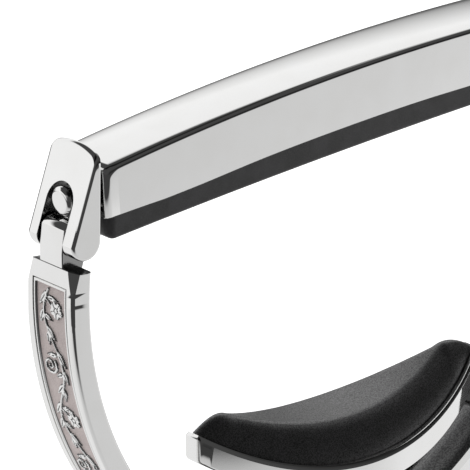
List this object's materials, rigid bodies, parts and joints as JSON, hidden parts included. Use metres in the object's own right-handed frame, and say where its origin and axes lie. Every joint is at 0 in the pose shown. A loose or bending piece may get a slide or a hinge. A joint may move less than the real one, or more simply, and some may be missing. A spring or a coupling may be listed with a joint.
{
  "type": "guitar capo",
  "caption": "Yoke-style guitar capo: a hinged string bar closes a C-shaped yoke, and a thumb screw raises a padded, tilting back saddle against the neck.",
  "frame": {"origin": "Middle of the string pad's underside, where the strings touch it.", "axes": "X runs along the string bar, across the instrument's neck, with the bar's hinge at -X and its latch at +X. Y runs along the neck. +Z points from the neck to the string bar, away from the thumb knob."},
  "size_m": [0.0683, 0.0196, 0.0736],
  "materials": {
    "polished_steel": "mirror-polished stainless steel",
    "etched_steel": null,
    "black_silicone": "matte black silicone with a fine grain",
    "black_rubber": "satin black rubber",
    "brass": "turned brass"
  },
  "bodies": {
    "yoke": {"yoke_frame": "polished_steel", "yoke_panel_left": "etched_steel", "yoke_panel_right": "etched_steel", "yoke_liner_left": "black_rubber", "yoke_liner_right": "black_rubber", "screw_bushing": "brass"},
    "bar": {"hinge_block": "polished_steel", "hinge_pin": "polished_steel", "bar_stud": "polished_steel", "string_bar": "polished_steel", "string_pad": "black_silicone", "catch_tongue": "polished_steel", "catch_stud": "polished_steel"},
    "latch": {"latch_lever": "polished_steel", "latch_pin": "polished_steel", "latch_roller": "polished_steel"},
    "carrier": {"swivel_housing": "polished_steel", "screw_retainer": "polished_steel", "thrust_washer": "brass"},
    "screw": {"adjusting_screw": "polished_steel", "knob_core": "polished_steel", "knob_grip": "black_rubber", "knob_screw": "polished_steel"},
    "saddle": {"saddle_tray": "polished_steel", "saddle_pad": "black_silicone", "saddle_pin": "polished_steel"}
  },
  "joints": [
    {"name": "bar_hinge", "type": "hinge", "parent": "yoke", "child": "bar", "pos_m": [-0.0299, 0, 0.0001], "axis": [0, -1, 0], "range_deg": [0, 105]},
    {"name": "latch_pivot", "type": "hinge", "parent": "yoke", "child": "latch", "pos_m": [0.0299, 0, 0.0001], "axis": [0, 1, 0], "range_deg": [-40, 35]},
    {"name": "saddle_slide", "type": "slide", "parent": "yoke", "child": "carrier", "axis": [0, 0, 1], "range_m": [-0.0018, 0.009]},
    {"name": "screw_turn", "type": "hinge", "parent": "carrier", "child": "screw", "pos_m": [0, 0, -0.045], "axis": [0, 0, 1], "range_deg": [-648.5, 3240.5]},
    {"name": "saddle_tilt", "type": "hinge", "parent": "carrier", "child": "saddle", "pos_m": [0, 0, -0.0346], "axis": [0, 1, 0], "range_deg": [-11, 4.8]}
  ],
  "couplings": [
    {"joint": "screw_turn", "follows": "saddle_slide", "rad_per_m": 6283.2}
  ]
}
